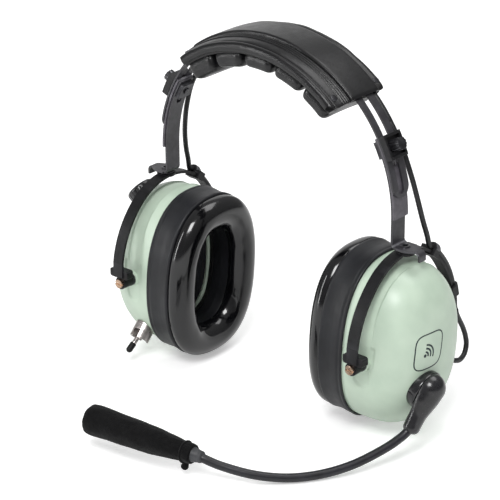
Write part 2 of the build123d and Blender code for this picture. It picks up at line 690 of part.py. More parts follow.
# ---------------------------------------------------------------------- output
# Each part is saved under the name of the function that builds it.
for build in (headband_leaf, head_pad_cover, head_pad_cushion, pad_snaps, cord_crown,
              dome_left, boom_seat, boom_elbow, elbow_retainer, boom_tube, mic_collar,
              microphone, mic_muff, muff_tie, dome_right, switch_guard, switch_body,
              switch_lever, switch_tip, volume_knob, volume_shaft, volume_pot):
    save(build.__name__, build())

for build in (hanger_strap, backing_plate, clamp_block, clamp_screw, clamp_nut,
              swivel_washer, swivel_eyelet, stirrup, cord_arm, cord_clips, cord_span):
    save_pair(build.__name__, build())

for build in (cord_grommet, seal_plate, ear_seal, foam_filter, earphone,
              pivot_screws, pivot_washers):
    save_cup_pair(build.__name__, build())

save("cord_loop_left", cord_loop(1))
save("cord_loop_right", cord_loop(-1))
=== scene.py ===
"""Headset with two ear cups, a padded headband and a boom microphone on the left cup.

Shapes are written in millimetres and become metres when a mesh is made. +X is the
wearer's left, -Y the front and +Z up. The headband arches over X in the XZ plane.
"""
import bpy, bmesh, json, math
import numpy as np
from mathutils import Vector, Matrix, noise


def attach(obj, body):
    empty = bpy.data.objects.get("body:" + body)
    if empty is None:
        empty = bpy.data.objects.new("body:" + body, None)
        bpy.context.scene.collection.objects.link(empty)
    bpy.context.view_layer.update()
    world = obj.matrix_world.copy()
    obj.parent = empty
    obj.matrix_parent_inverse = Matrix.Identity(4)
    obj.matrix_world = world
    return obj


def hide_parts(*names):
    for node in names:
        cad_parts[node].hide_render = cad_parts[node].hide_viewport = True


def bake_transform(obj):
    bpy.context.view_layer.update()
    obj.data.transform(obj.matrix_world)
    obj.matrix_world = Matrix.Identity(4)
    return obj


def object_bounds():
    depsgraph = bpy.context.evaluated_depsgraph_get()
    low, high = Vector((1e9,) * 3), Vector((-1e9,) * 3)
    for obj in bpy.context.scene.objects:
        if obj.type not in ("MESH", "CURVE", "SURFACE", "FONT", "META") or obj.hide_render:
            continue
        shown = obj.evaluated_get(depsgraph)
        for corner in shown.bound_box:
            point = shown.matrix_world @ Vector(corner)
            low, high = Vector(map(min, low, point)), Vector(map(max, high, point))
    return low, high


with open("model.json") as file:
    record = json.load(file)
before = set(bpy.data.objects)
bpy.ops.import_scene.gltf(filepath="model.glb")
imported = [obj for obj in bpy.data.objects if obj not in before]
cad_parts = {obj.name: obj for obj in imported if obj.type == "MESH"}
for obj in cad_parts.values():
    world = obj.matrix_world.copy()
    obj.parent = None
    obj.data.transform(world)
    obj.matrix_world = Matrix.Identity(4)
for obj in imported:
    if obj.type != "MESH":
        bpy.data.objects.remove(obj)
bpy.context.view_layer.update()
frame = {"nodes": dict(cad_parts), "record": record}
scene = bpy.context.scene
MM = 0.001
TURN = 2 * math.pi
SIDES = (("left", 1), ("right", -1))

# ------------------------------------------------------------------ materials
MATS = {}


def linear(rgb):
    """An 8-bit sRGB colour as linear RGBA."""
    unit_rgb = [x / 255 for x in rgb]
    return tuple(x / 12.92 if x <= 0.04045 else ((x + 0.055) / 1.055) ** 2.4
                 for x in unit_rgb) + (1.0,)


def node(tree, kind, inputs={}, **settings):
    made = tree.nodes.new("ShaderNode" + kind)
    for key, value in settings.items():
        setattr(made, key, value)
    for key, value in inputs.items():
        made.inputs[key].default_value = value
    return made


def map_range(tree, source, start=0.0, end=1.0, low=0.0, high=1.0):
    made = node(tree, "MapRange", {"From Min": start, "From Max": end,
                                   "To Min": low, "To Max": high})
    tree.links.new(source, made.inputs["Value"])
    return made.outputs["Result"]


def noise_texture(tree, vector, scale, detail):
    made = node(tree, "TexNoise", {"Scale": scale, "Detail": detail})
    tree.links.new(vector, made.inputs["Vector"])
    return made.outputs["Fac"]


def mapping(tree, vector, scale=(1, 1, 1)):
    made = node(tree, "Mapping", {"Scale": scale})
    tree.links.new(vector, made.inputs["Vector"])
    return made.outputs[0]


def grain_height(tree, kind, coords, vector, scale):
    """Height of the surface grain for one kind of surface."""
    if kind in ("leather", "foam"):
        cells = node(tree, "TexVoronoi", {"Scale": scale},
                     feature="DISTANCE_TO_EDGE" if kind == "leather" else "F1")
        tree.links.new(vector, cells.inputs["Vector"])
        distance = cells.outputs["Distance"]
        return map_range(tree, distance, end=0.25) if kind == "leather" else distance
    if kind == "brush":
        return noise_texture(tree, mapping(tree, coords, scale=(1, 14, 1)), scale, detail=3)
    return noise_texture(tree, vector, scale, detail=4)


def material(name, dark, light, rough, mottle, grain, depth, kind="noise", metallic=0.0,
             coat=0.0, coat_rough=0.1, sheen=0.0, spec=0.5, wear=None, wear_at=(0.54, 0.66),
             strength=0.6):
    """Mottled surface with grain.

    mottle and grain are texture scales, depth (metres) and strength drive the bump, and
    wear is the colour of rubbed edges where pointiness lies in the range wear_at.
    """
    made = bpy.data.materials.new(name)
    made.use_nodes = True
    tree = made.node_tree
    link = tree.links.new
    shader = tree.nodes["Principled BSDF"]
    coords = node(tree, "TexCoord").outputs["Object"]
    vector = mapping(tree, coords)
    patches = noise_texture(tree, vector, mottle, detail=5)
    mix = node(tree, "Mix", {"A": linear(dark), "B": linear(light)}, data_type="RGBA")
    link(map_range(tree, patches, 0.35, 0.65), mix.inputs["Factor"])
    colour = mix.outputs["Result"]
    smudge = noise_texture(tree, vector, mottle * 2.3, detail=6)
    link(map_range(tree, smudge, 0.3, 0.7, *rough), shader.inputs["Roughness"])
    bump = node(tree, "Bump", {"Distance": depth, "Strength": strength})
    link(grain_height(tree, kind, coords, vector, grain), bump.inputs["Height"])
    link(bump.outputs["Normal"], shader.inputs["Normal"])
    if wear is not None:
        pointiness = node(tree, "NewGeometry").outputs["Pointiness"]
        amount = node(tree, "Math", operation="MULTIPLY")
        link(map_range(tree, pointiness, *wear_at), amount.inputs[0])
        link(smudge, amount.inputs[1])
        worn = node(tree, "Mix", {"B": linear(wear)}, data_type="RGBA")
        link(amount.outputs[0], worn.inputs["Factor"])
        link(colour, worn.inputs["A"])
        colour = worn.outputs["Result"]
    link(colour, shader.inputs["Base Color"])
    for key, value in {"Metallic": metallic, "Specular IOR Level": spec, "Coat Weight": coat,
                       "Coat Roughness": coat_rough, "Sheen Weight": sheen,
                       "Sheen Roughness": 0.5}.items():
        shader.inputs[key].default_value = value
    if coat:
        link(bump.outputs["Normal"], shader.inputs["Coat Normal"])
    MATS[name] = made


material("dome_green", dark=(187, 206, 187), light=(197, 215, 196), rough=(0.36, 0.44),
         mottle=60, grain=2600, depth=1.2e-5, coat=0.18, coat_rough=0.25, strength=0.5,
         wear=(222, 236, 220), wear_at=(0.53, 0.62))
material("leaf_steel", dark=(38, 37, 41), light=(52, 51, 56), rough=(0.36, 0.5),
         mottle=200, grain=2400, depth=2e-5, kind="brush", wear=(128, 128, 134), spec=0.6)
material("plate_steel", dark=(76, 73, 79), light=(92, 89, 96), rough=(0.38, 0.52),
         mottle=240, grain=2400, depth=2e-5, kind="brush", wear=(140, 140, 146))
material("block_plastic", dark=(12, 12, 14), light=(21, 21, 24), rough=(0.42, 0.55),
         mottle=300, grain=3200, depth=3e-5, wear=(70, 70, 76), spec=0.4)
material("screw_black", dark=(36, 36, 39), light=(50, 50, 54), rough=(0.28, 0.42),
         mottle=400, grain=3000, depth=2e-5, metallic=0.55, wear=(150, 150, 155),
         wear_at=(0.53, 0.64))
material("stirrup_nylon", dark=(11, 11, 13), light=(19, 19, 22), rough=(0.44, 0.56),
         mottle=260, grain=3600, depth=4e-5, wear=(52, 52, 56), spec=0.3)
material("clip_rubber", dark=(9, 9, 11), light=(17, 17, 20), rough=(0.42, 0.56),
         mottle=300, grain=2800, depth=4e-5, spec=0.35)
material("band_grey", dark=(70, 70, 74), light=(84, 84, 88), rough=(0.4, 0.52),
         mottle=300, grain=2800, depth=4e-5)
material("pad_leather", dark=(9, 9, 11), light=(16, 16, 18), rough=(0.30, 0.40),
         mottle=90, grain=950, depth=6e-5, kind="leather", coat=0.14, coat_rough=0.16,
         spec=0.38, strength=0.35, wear=(34, 34, 35), wear_at=(0.53, 0.62))
material("cord_pvc", dark=(16, 16, 18), light=(27, 27, 30), rough=(0.36, 0.48),
         mottle=220, grain=2200, depth=3e-5)
material("seal_vinyl", dark=(5, 5, 7), light=(11, 11, 14), rough=(0.11, 0.2),
         mottle=60, grain=1300, depth=1e-5, coat=0.35, coat_rough=0.06, strength=0.35)
material("seal_boot", dark=(21, 22, 25), light=(29, 30, 34), rough=(0.40, 0.50),
         mottle=80, grain=2600, depth=2e-5, strength=0.4, spec=0.4)
material("foam_navy", dark=(8, 10, 16), light=(17, 20, 30), rough=(0.85, 0.95),
         mottle=500, grain=900, depth=4e-4, kind="foam", sheen=0.15, strength=1.0, spec=0.2)
material("screw_brass", dark=(170, 142, 120), light=(204, 178, 156), rough=(0.2, 0.34),
         mottle=500, grain=2600, depth=3e-5, kind="brush", metallic=1.0,
         wear=(250, 226, 205), wear_at=(0.53, 0.62))
material("elbow_rubber", dark=(14, 14, 16), light=(24, 24, 28), rough=(0.24, 0.34),
         mottle=110, grain=2000, depth=1.2e-5, coat=0.35, coat_rough=0.14)
material("elbow_gloss", dark=(16, 16, 18), light=(26, 26, 29), rough=(0.12, 0.2),
         mottle=110, grain=2000, depth=1e-5, coat=0.3, coat_rough=0.06)
material("nickel", dark=(190, 183, 181), light=(216, 210, 207), rough=(0.26, 0.36),
         mottle=380, grain=2200, depth=2e-5, kind="brush", metallic=1.0)
material("boom_sleeve", dark=(22, 22, 26), light=(34, 34, 40), rough=(0.30, 0.42),
         mottle=150, grain=2400, depth=3e-5)
material("muff_foam", dark=(6, 6, 7), light=(13, 13, 14), rough=(0.88, 0.97),
         mottle=420, grain=1900, depth=2.2e-4, kind="foam", sheen=0.08, strength=0.8,
         spec=0.15)
material("collar_grey", dark=(50, 51, 54), light=(66, 67, 70), rough=(0.42, 0.52),
         mottle=260, grain=2600, depth=3e-5)
material("emblem_ink", dark=(18, 38, 40), light=(28, 50, 50), rough=(0.45, 0.55),
         mottle=400, grain=2600, depth=1e-5)


# --------------------------------------------------------------- mesh helpers
def add_object(name, data):
    obj = bpy.data.objects.new(name, data)
    scene.collection.objects.link(obj)
    return obj


def mesh_object(name, verts, faces, sharp=None):
    """Smooth mesh; edges steeper than sharp degrees stay hard."""
    mesh = bpy.data.meshes.new(name)
    mesh.from_pydata([tuple(p) for p in np.asarray(verts, float) * MM], [],
                     [tuple(int(i) for i in face) for face in faces])
    bm = bmesh.new()
    bm.from_mesh(mesh)
    bmesh.ops.recalc_face_normals(bm, faces=bm.faces)
    bm.to_mesh(mesh)
    bm.free()
    mesh.shade_smooth()
    if sharp:
        mesh.set_sharp_from_angle(angle=math.radians(sharp))
    mesh.validate()
    mesh.update()
    return add_object(name, mesh)


def skin(name, sections, ends="fan", sharp=None):
    """Skin equal closed rings. ends: "fan" or "flat" caps, or "join" last ring to first."""
    sections = np.asarray(sections, float)
    m, n = sections.shape[:2]
    verts = sections.reshape(-1, 3).tolist()
    faces = []
    for i in range(m if ends == "join" else m - 1):
        j = (i + 1) % m
        for k in range(n):
            q = (k + 1) % n
            faces.append((i * n + k, i * n + q, j * n + q, j * n + k))
    last = (m - 1) * n
    if ends == "fan":
        verts.append(sections[0].mean(0).tolist())
        faces += [((k + 1) % n, k, m * n) for k in range(n)]
        verts.append(sections[-1].mean(0).tolist())
        faces += [(last + k, last + (k + 1) % n, m * n + 1) for k in range(n)]
    elif ends == "flat":
        faces.append(range(n - 1, -1, -1))
        faces.append(range(last, last + n))
    return mesh_object(name, verts, faces, sharp)


def closed(points):
    return np.array(points + points[:1], float)


def spline(points, per):
    """Catmull-Rom curve through the points, with per steps to a span."""
    P = np.array(points, float)
    P = np.vstack([2 * P[0] - P[1], P, 2 * P[-1] - P[-2]])
    out = []
    for i in range(1, len(P) - 2):
        p0, p1, p2, p3 = P[i - 1:i + 3]
        for k in range(per):
            t = k / per
            out.append(0.5 * (2 * p1 + (p2 - p0) * t + (2 * p0 - 5 * p1 + 4 * p2 - p3) * t * t
                              + (3 * p1 - p0 - 3 * p2 + p3) * t ** 3))
    out.append(P[-2])
    return np.array(out)


def even(points, count):
    """The polyline resampled to count evenly spaced points."""
    P = np.array(points, float)
    run = np.r_[0, np.cumsum(np.linalg.norm(np.diff(P, axis=0), axis=1))]
    stops = np.linspace(0, run[-1], count)
    return np.stack([np.interp(stops, run, P[:, k]) for k in range(P.shape[1])], 1)


def smooth_path(points, count, per=10):
    return even(spline(points, per), count)


def ring_angles(count):
    return np.linspace(0, TURN, count, endpoint=False)


def unit(v):
    v = np.array(v, float)
    return v / np.linalg.norm(v)


def off_axis(direction):
    """An axis that isn't parallel to the direction."""
    return np.array([0, 0, 1.0]) if abs(direction[2]) < 0.9 else np.array([1.0, 0, 0])


def tube(name, path, radius, sides=20):
    """Round tube along a path, with rounded ends."""
    P = np.asarray(path, float)
    radii = np.broadcast_to(radius, len(P))
    tangents = np.gradient(P, axis=0)
    tangents /= np.linalg.norm(tangents, axis=1)[:, None]
    normals = [unit(np.cross(tangents[0], off_axis(tangents[0])))]
    for i in range(1, len(P)):
        normals.append(unit(normals[-1] - tangents[i] * (normals[-1] @ tangents[i])))
    binormals = np.cross(tangents, np.array(normals))
    angles = ring_angles(sides)[:, None]

    def ring(i, tip):
        """Ring at point i, tip degrees round the end's bulge."""
        a = math.radians(tip)
        around = np.cos(angles) * normals[i] + np.sin(angles) * binormals[i]
        return P[i] + tangents[i] * radii[i] * math.sin(a) * 0.6 + radii[i] * math.cos(a) * around

    sections = [ring(0, tip) for tip in (-80, -55, -30)]
    sections += [ring(i, 0) for i in range(len(P))]
    sections += [ring(-1, tip) for tip in (30, 55, 80)]
    return skin(name, sections)


def lathe(name, origin, axis, profile, sides, wobble=None, sharp=None):
    """Turn a profile of (height, radius) about an axis; wobble adds to the radius."""
    origin, axis = np.array(origin, float), unit(axis)
    x = unit(np.cross(off_axis(axis), axis))
    y = np.cross(axis, x)
    angles = ring_angles(sides)
    sections = []
    for h, radius in profile:
        r = (radius + (wobble(h, angles) if wobble else 0 * angles))[:, None]
        sections.append(origin + axis * h + r * np.cos(angles)[:, None] * x
                        + r * np.sin(angles)[:, None] * y)
    return skin(name, sections, sharp=sharp)


def finish_piece(obj, body, mat, replaces=(), blend=None):
    obj.data.materials.clear()
    obj.data.materials.append(MATS[mat])
    if blend:
        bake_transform(obj)
    else:
        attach(obj, body)
    if replaces:
        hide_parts(*replaces)


def get_points(obj):
    """Vertex positions in metres."""
    return np.array([v.co for v in obj.data.vertices], float)


def set_points(obj, points):
    obj.data.vertices.foreach_set("co", points.astype(np.float32).ravel())


def apply_modifiers(obj):
    depsgraph = bpy.context.evaluated_depsgraph_get()
    depsgraph.update()
    mesh = bpy.data.meshes.new_from_object(obj.evaluated_get(depsgraph))
    obj.modifiers.clear()
    obj.data = mesh
    mesh.shade_smooth()


def subdivide(obj):
    modifier = obj.modifiers.new("sub", "SUBSURF")
    modifier.levels = modifier.render_levels = 1
    apply_modifiers(obj)


def simulate_pressure(obj, pinned, last_frame=20):
    """Points of the cushion, in metres, after its cloth is inflated."""
    group = obj.vertex_groups.new(name="pin")
    for i in np.nonzero(pinned)[0]:
        group.add([int(i)], 1.0, "REPLACE")
    modifier = obj.modifiers.new("cloth", "CLOTH")
    cloth = modifier.settings
    cloth.quality = 5
    cloth.mass = 0.02
    cloth.tension_stiffness = cloth.compression_stiffness = 8
    cloth.shear_stiffness = 4
    cloth.bending_stiffness = 0.4
    cloth.use_pressure = True
    cloth.uniform_pressure_force = 4.0
    cloth.effector_weights.gravity = 0
    cloth.vertex_group_mass = "pin"
    modifier.point_cache.frame_start = 1
    modifier.point_cache.frame_end = last_frame
    for f in range(1, last_frame + 1):
        scene.frame_set(f)
    points = get_points(obj.evaluated_get(bpy.context.evaluated_depsgraph_get()))
    obj.modifiers.clear()
    obj.vertex_groups.clear()
    scene.frame_set(1)
    return points


def puff(obj, cap, pinned):
    """Inflate a closed cushion, moving each point by at most cap mm."""
    rest = get_points(obj)
    moves = simulate_pressure(obj, pinned) - rest
    if not np.isfinite(moves).all():
        return
    typical = np.percentile(np.linalg.norm(moves, axis=1), 92)
    if typical > 1e-7:
        moves *= cap * MM / typical
        lengths = np.linalg.norm(moves, axis=1)
        moves *= (np.minimum(lengths, cap * MM) / np.maximum(lengths, 1e-12))[:, None]
    # average each move with its neighbours' so that the skin stays smooth
    edges = np.array([e.vertices[:] for e in obj.data.edges])
    neighbours = np.bincount(edges.ravel(), minlength=len(moves)).astype(float)[:, None]
    for _ in range(6):
        total = np.zeros_like(moves)
        np.add.at(total, edges[:, 0], moves[edges[:, 1]])
        np.add.at(total, edges[:, 1], moves[edges[:, 0]])
        moves = 0.5 * moves + 0.5 * total / neighbours
    moves[np.asarray(pinned)] = 0
    set_points(obj, rest + moves)
    obj.data.update()


def join_pieces(name, pieces):
    verts, faces = [], []
    for piece in pieces:
        base = len(verts)
        verts += [tuple(v.co / MM) for v in piece.data.vertices]
        faces += [tuple(base + i for i in p.vertices) for p in piece.data.polygons]
        bpy.data.objects.remove(piece)
    return mesh_object(name, verts, faces)


# ------------------------------------------------------------ shared geometry
CUP_X, CUP_Z = 71.6, -2.9            # centre of the cup's rim before it tilts
PIVOT_X, PIVOT_Z = 86.3, -4.5        # axis along Y that the cup tilts on
TILT = math.radians(3.5)
HALF_Y, HALF_Z, DOME_DEPTH = 34.15, 49.0, 41.5
PLAN_POWER, DEPTH_POWER = 2.33, 2.96   # superellipse powers of the rim and the dome's rise
HOLE_HALF_Y, HOLE_HALF_Z, HOLE_POWER = 18.2, 31.7, 2.45   # opening of the ear seal
ARCH_Z = 70                          # height of the headband arch's centre


def tilted(P, side):
    """Points with X measured outward, put on their side and tilted about the pivot."""
    dx, dz = side * P[..., 0] - side * PIVOT_X, P[..., 2] - PIVOT_Z
    c, s = math.cos(TILT), math.sin(TILT)
    return np.stack([side * PIVOT_X + dx * c + dz * s, P[..., 1],
                     PIVOT_Z - dx * s + dz * c], -1)


def cup(P, side):
    """Cup points (x to the rear, y up, z out from the rim) in the headset's frame."""
    P = np.asarray(P, float)
    return tilted(np.stack([CUP_X + P[..., 2], P[..., 0], CUP_Z + P[..., 1]], -1), side)


def superellipse(a, b, power, angles):
    c, s = np.cos(angles), np.sin(angles)
    return np.stack([a * np.sign(c) * np.abs(c) ** (2 / power),
                     b * np.sign(s) * np.abs(s) ** (2 / power)], -1)


def smoothstep(a, b, x):
    t = np.clip((x - a) / (b - a), 0, 1)
    return t * t * (3 - 2 * t)


def arch(radius, degrees, y):
    """Point on the headband arch; the angle runs from +X up over the head."""
    a = np.radians(degrees)
    return np.stack([radius * np.cos(a), y + 0 * radius, ARCH_Z + radius * np.sin(a)], -1)


def at_height(xy, z):
    return np.column_stack([xy, np.full(len(xy), z, float)])


def noise_at(*point):
    return noise.noise(Vector(point))


# ---------------------------------------------------------------------- domes
CHANNEL_Z, CHANNEL_HALF, CHANNEL_END_Y, CHANNEL_DEPTH = 14.2, 4.7, -12.0, 0.85
POCKET_Z, POCKET_HALF_Z, POCKET_Y, POCKET_HALF_Y, POCKET_DEPTH = 14.4, 6.6, 4.0, 4.2, 1.0
WALL = 2.3
BOSS_START, BOSS_AIM = 28.0, 40.0    # distances from the cup's centre along the pivot
# (share of the rim outline, share of the lip outline, z) from the rim in to the back
RIM_STEPS = [(0.995, 0, -0.02), (0.8, 0.2, -0.02), (0, 1.02, 0.0), (0, 1, 0.35), (0, 1, 1.8),
             (0, 1.02, 2.2), (0.75, 0.2, 2.2)]
BOSS = [(0, 4.6), (4.6, 4.6), (5.4, 4.5), (6.1, 4.25), (6.35, 3.9), (6.4, 1.0)]


def dome_sink(y, z):
    """How deep the channel under the stirrup and its pocket lie, in cup coordinates."""
    d = np.hypot(z - CHANNEL_Z, np.minimum(y - CHANNEL_END_Y, 0))
    channel = CHANNEL_DEPTH * (1 - smoothstep(CHANNEL_HALF - 0.5, CHANNEL_HALF + 0.5, d))
    ez = np.abs(z - POCKET_Z) - POCKET_HALF_Z
    ey = np.abs(y - POCKET_Y) - POCKET_HALF_Y
    outside = np.hypot(np.maximum(ez, 0), np.maximum(ey, 0)) + np.minimum(np.maximum(ez, ey), 0)
    return np.maximum(channel, POCKET_DEPTH * (1 - smoothstep(-0.3, 1.0, outside)))


def dome_rise(scale, depth=DOME_DEPTH):
    """Height of the dome where its outline has shrunk to this scale."""
    return depth * (1 - scale ** DEPTH_POWER) ** (1 / DEPTH_POWER)


def build_dome(tag, side):
    name = "dome_shell_" + tag
    angles = ring_angles(288)
    plan = superellipse(1, 1, PLAN_POWER, angles)
    # stations step evenly in height up the side, then evenly in scale over the top
    heights = list(np.linspace(0.0, 27, 82))
    scales = [(1 - (z / DOME_DEPTH) ** DEPTH_POWER) ** (1 / DEPTH_POWER) for z in heights]
    for s in np.linspace(scales[-1], 0.03, 46)[1:]:
        scales.append(s)
        heights.append(dome_rise(s))
    outer = []
    for z, s in zip(heights, scales):
        x, y = HALF_Y * s * plan[:, 0], HALF_Z * s * plan[:, 1]
        steep = s ** (DEPTH_POWER - PLAN_POWER)
        gx = steep * np.abs(x / HALF_Y) ** (PLAN_POWER - 1) * np.sign(x) / HALF_Y
        gy = steep * np.abs(y / HALF_Z) ** (PLAN_POWER - 1) * np.sign(y) / HALF_Z
        gz = np.full_like(x, (z / DOME_DEPTH) ** (DEPTH_POWER - 1) / DOME_DEPTH)
        outward = np.stack([gx, gy, gz], -1)
        outward /= np.linalg.norm(outward, axis=1)[:, None]
        outer.append(at_height(np.stack([x, y], -1), z) - outward * dome_sink(y, z)[:, None])
    lip = superellipse(16.9, 30.3, HOLE_POWER, angles)
    rim = superellipse(HALF_Y, HALF_Z, PLAN_POWER, angles)
    inner = [at_height(rim * a + lip * b, z) for a, b, z in RIM_STEPS]
    for s in np.linspace(1, 0.03, 20):
        inner.append(at_height(rim * 0.935 * s, WALL + dome_rise(s, DOME_DEPTH - 2 * WALL)))
    pieces = [skin(name + "_shell", cup(np.array(outer[::-1] + inner), side))]
    # bosses for the pivot screws
    for end in (-1, 1):
        start, aim = cup([[end * reach, PIVOT_Z - CUP_Z, PIVOT_X - CUP_X]
                          for reach in (BOSS_START, BOSS_AIM)], side)
        pieces.append(lathe(name + "_boss", start, aim - start, BOSS, 40))
    finish_piece(join_pieces(name, pieces), "cup_" + tag, "dome_green",
                 replaces=("dome_" + tag,))


# ------------------------------------------------------------------ ear seals
SEAL_WIDTH = 18.0      # inset that reaches the opening
# (inset from the outer outline, z from the rim; negative is towards the head)
BOOT = [
    (1.45, 1.0), (1.25, 1.45), (0.75, 1.55), (0.2, 1.3), (-0.05, 0.8), (0.0, 0.1),
    (0.3, -0.35), (0.42, -0.7), (0.25, -1.1), (0.1, -2.0), (0.3, -4.5), (0.5, -7.0),
    (0.42, -9.6), (0.12, -12.2), (-0.12, -13.4), (-0.2, -14.1), (0.0, -14.7), (0.5, -15.0),
    (1.4, -15.0), (6.0, -15.0), (12.0, -15.0), (16.6, -15.0), (17.3, -14.4), (17.5, -12.0),
    (17.6, -9.6), (17.9, -8.8), (17.75, -7.9), (17.6, -7.0), (17.7, -4.0), (17.9, -2.6),
    (17.0, -2.5), (9.0, -2.52), (3.0, -2.52), (1.55, -2.5), (1.5, -1.0)]
CUSHION = [
    (1.25, -14.6), (0.75, -15.5), (0.45, -17.2), (0.65, -19.0), (1.35, -21.0), (2.8, -23.1),
    (5.2, -24.9), (8.2, -25.8), (10.4, -25.75), (13.0, -25.0), (15.6, -23.4), (17.5, -21.2),
    (18.6, -18.8), (19.0, -16.4), (18.5, -14.9), (13.0, -14.6), (6.0, -14.6)]
CUSHION_PIN_Z = -15.6  # the cushion is held above this
# (scale of the outline, z) over the foam disc, head side first
FOAM = [(0.02, 1.25), (0.2, 1.27), (0.45, 1.4), (0.7, 1.8), (0.8, 2.15), (0.86, 2.3),
        (0.97, 2.35), (1.0, 2.9), (1.0, 5.0), (0.97, 5.8), (0.7, 6.0), (0.02, 6.0)]


def seal_ring(profile, sides, side):
    angles = ring_angles(sides)
    boot = superellipse(HALF_Y + 1.47, HALF_Z + 1.47, PLAN_POWER, angles)
    cushion = superellipse(HALF_Y + 1.3, HALF_Z + 1.3, 2.5, angles)
    hole = superellipse(HOLE_HALF_Y, HOLE_HALF_Z, HOLE_POWER, angles)
    out = []
    for inset, z in profile:
        f = inset / SEAL_WIDTH
        k = float(smoothstep(-14.5, -20.0, z))
        out.append(at_height((boot * (1 - k) + cushion * k) * (1 - f) + hole * f, z))
    return cup(np.array(out), side)


def build_seal(tag, side):
    body = "cup_" + tag
    boot = skin("ear_seal_boot_" + tag, seal_ring(even(closed(BOOT), 90)[:-1], 160, side),
                ends="join")
    finish_piece(boot, body, "seal_boot", ("ear_seal_" + tag,))
    sides = 128
    profile = even(spline(closed(CUSHION), 6), 45)[:-1]
    cushion = skin("ear_cushion_" + tag, seal_ring(profile, sides, side), ends="join")
    puff(cushion, cap=0.5, pinned=np.repeat(profile[:, 1] > CUSHION_PIN_Z, sides))
    subdivide(cushion)
    finish_piece(cushion, body, "seal_vinyl")


def build_foam(tag, side):
    """Foam disc behind the dome's opening."""
    outline = superellipse(19.4, 32.8, HOLE_POWER, ring_angles(96))
    sections = []
    for scale, z in FOAM:
        zs = [z + 0.12 * noise_at(x * scale * 0.35, y * scale * 0.35, side * 3.1)
              for x, y in outline]
        sections.append(at_height(outline * scale, zs))
    foam = skin("foam_disc_" + tag, cup(np.array(sections), side))
    finish_piece(foam, "cup_" + tag, "foam_navy", replaces=("foam_filter_" + tag,))


for tag, side in SIDES:
    build_dome(tag, side)
    build_seal(tag, side)
    build_foam(tag, side)

# --------------------------------------------------------------------- emblem
EMBLEM_CENTRE = np.array([-8.6, 6.9])    # cup x, y
ARC_CENTRE = np.array([-3.4, -2.0])      # from the emblem's centre


def on_dome(p, lift):
    scale = (np.abs(p[:, 0] / HALF_Y) ** PLAN_POWER
             + np.abs(p[:, 1] / HALF_Z) ** PLAN_POWER) ** (1 / PLAN_POWER)
    return at_height(p, dome_rise(scale) + lift)


def stroke(points, width, loop=False):
    """Thin printed line that follows the left dome."""
    P = points + EMBLEM_CENTRE
    along = np.roll(P, -1, 0) - np.roll(P, 1, 0) if loop else np.gradient(P, axis=0)
    along /= np.linalg.norm(along, axis=1)[:, None]
    across = np.stack([-along[:, 1], along[:, 0]], 1) * width / 2
    sections = np.stack([on_dome(P - across, -0.1), on_dome(P - across, 0.07),
                         on_dome(P + across, 0.07), on_dome(P + across, -0.1)], 1)
    return skin("stroke", cup(sections, 1), ends="join" if loop else "fan")


def arc(radius, angles):
    return np.stack([radius * np.cos(angles), radius * np.sin(angles)], 1) + ARC_CENTRE


def build_emblem():
    """Slanted rounded frame round three arcs and a dot."""
    border = superellipse(10.2, 10.4, 4.2, np.linspace(0, TURN, 120, endpoint=False))
    border[:, 0] += 0.08 * border[:, 1]
    strokes = [stroke(border, 0.72, loop=True)]
    fan = np.radians(np.linspace(-52, 52, 26)) + 0.55
    for radius in (2.2, 4.3, 6.4):
        strokes.append(stroke(arc(radius, fan), 1.05))
    strokes.append(stroke(arc(0.55, ring_angles(20)), 0.9, loop=True))
    finish_piece(join_pieces("emblem_mark", strokes), "cup_left", "emblem_ink")


build_emblem()

# ------------------------------------------------------------------- head pad
PAD_START, PAD_END = 47.0, 128.2     # arch angles of its left and right ends
PAD_FRONT, PAD_REAR = -26.2, 19.6    # Y
PAD_CORNER = 6                       # width in Y over which the corners round off
# (Y, arch radius): over the top from front to rear, then back underneath
COVER = [
    (-26.15, 81.4), (-26.35, 83.0), (-26.0, 84.6), (-25.1, 85.6), (-24.0, 85.85),
    (-23.3, 85.6), (-22.9, 85.35), (-22.5, 85.65), (-21.6, 86.1), (-20.0, 86.5),
    (-18.4, 86.75), (-17.8, 86.8), (-17.5, 87.25), (-17.0, 87.5), (-16.5, 87.25),
    (-16.2, 86.85), (-15.9, 87.3), (-15.4, 87.6), (-14.9, 87.35), (-14.6, 86.9),
    (-14.3, 87.35), (-13.8, 87.7), (-13.2, 87.5), (-12.7, 87.0), (-12.35, 87.2),
    (-12.1, 88.3), (-11.5, 88.95), (-10.6, 89.1), (-8, 89.12), (-4, 89.15), (0, 89.16),
    (4, 89.12), (8, 89.0), (9.8, 88.9), (10.7, 88.6), (11.2, 87.8), (11.6, 86.9),
    (12.4, 86.6), (13.2, 86.7), (14.4, 87.1), (16.0, 87.15), (17.3, 86.6), (18.5, 85.6),
    (19.3, 84.2), (19.55, 82.6), (19.4, 81.4),
    (18.8, 80.7), (17.9, 80.9), (17.5, 82.15), (10, 82.2), (0, 82.2), (-10, 82.2),
    (-18, 82.2), (-23.6, 82.15), (-24.2, 80.9), (-25.1, 80.5), (-25.8, 80.8)]
BACKING = [
    (-24.1, 81.9), (-24.3, 80.6), (-23.8, 79.4), (-21.5, 79.0), (-10, 78.9), (0, 78.9),
    (10, 78.9), (15.6, 79.0), (16.9, 79.4), (17.2, 80.6), (17.1, 81.9), (8, 82.05),
    (-10, 82.05)]
PILLOW_INNER = (71.3, 71.6, 71.4, 70.6, 69.0)    # inner arch radius of each pillow
PILLOW_OUTER, PILLOW_ROUND = 81.0, 4.4
PILLOW_HALF_T, PILLOW_HALF_Y, PILLOW_Y = 10.35, 21.3, -3.4
PILLOW_MEAN = 76.0                   # radius at which lengths turn into arch angles
PILLOW_PIN = 79.4                    # pillows are held outside this radius
SNAP = [(-1.5, 2.0), (0.1, 2.15), (0.3, 2.0), (0.42, 1.4), (0.46, 0.5)]


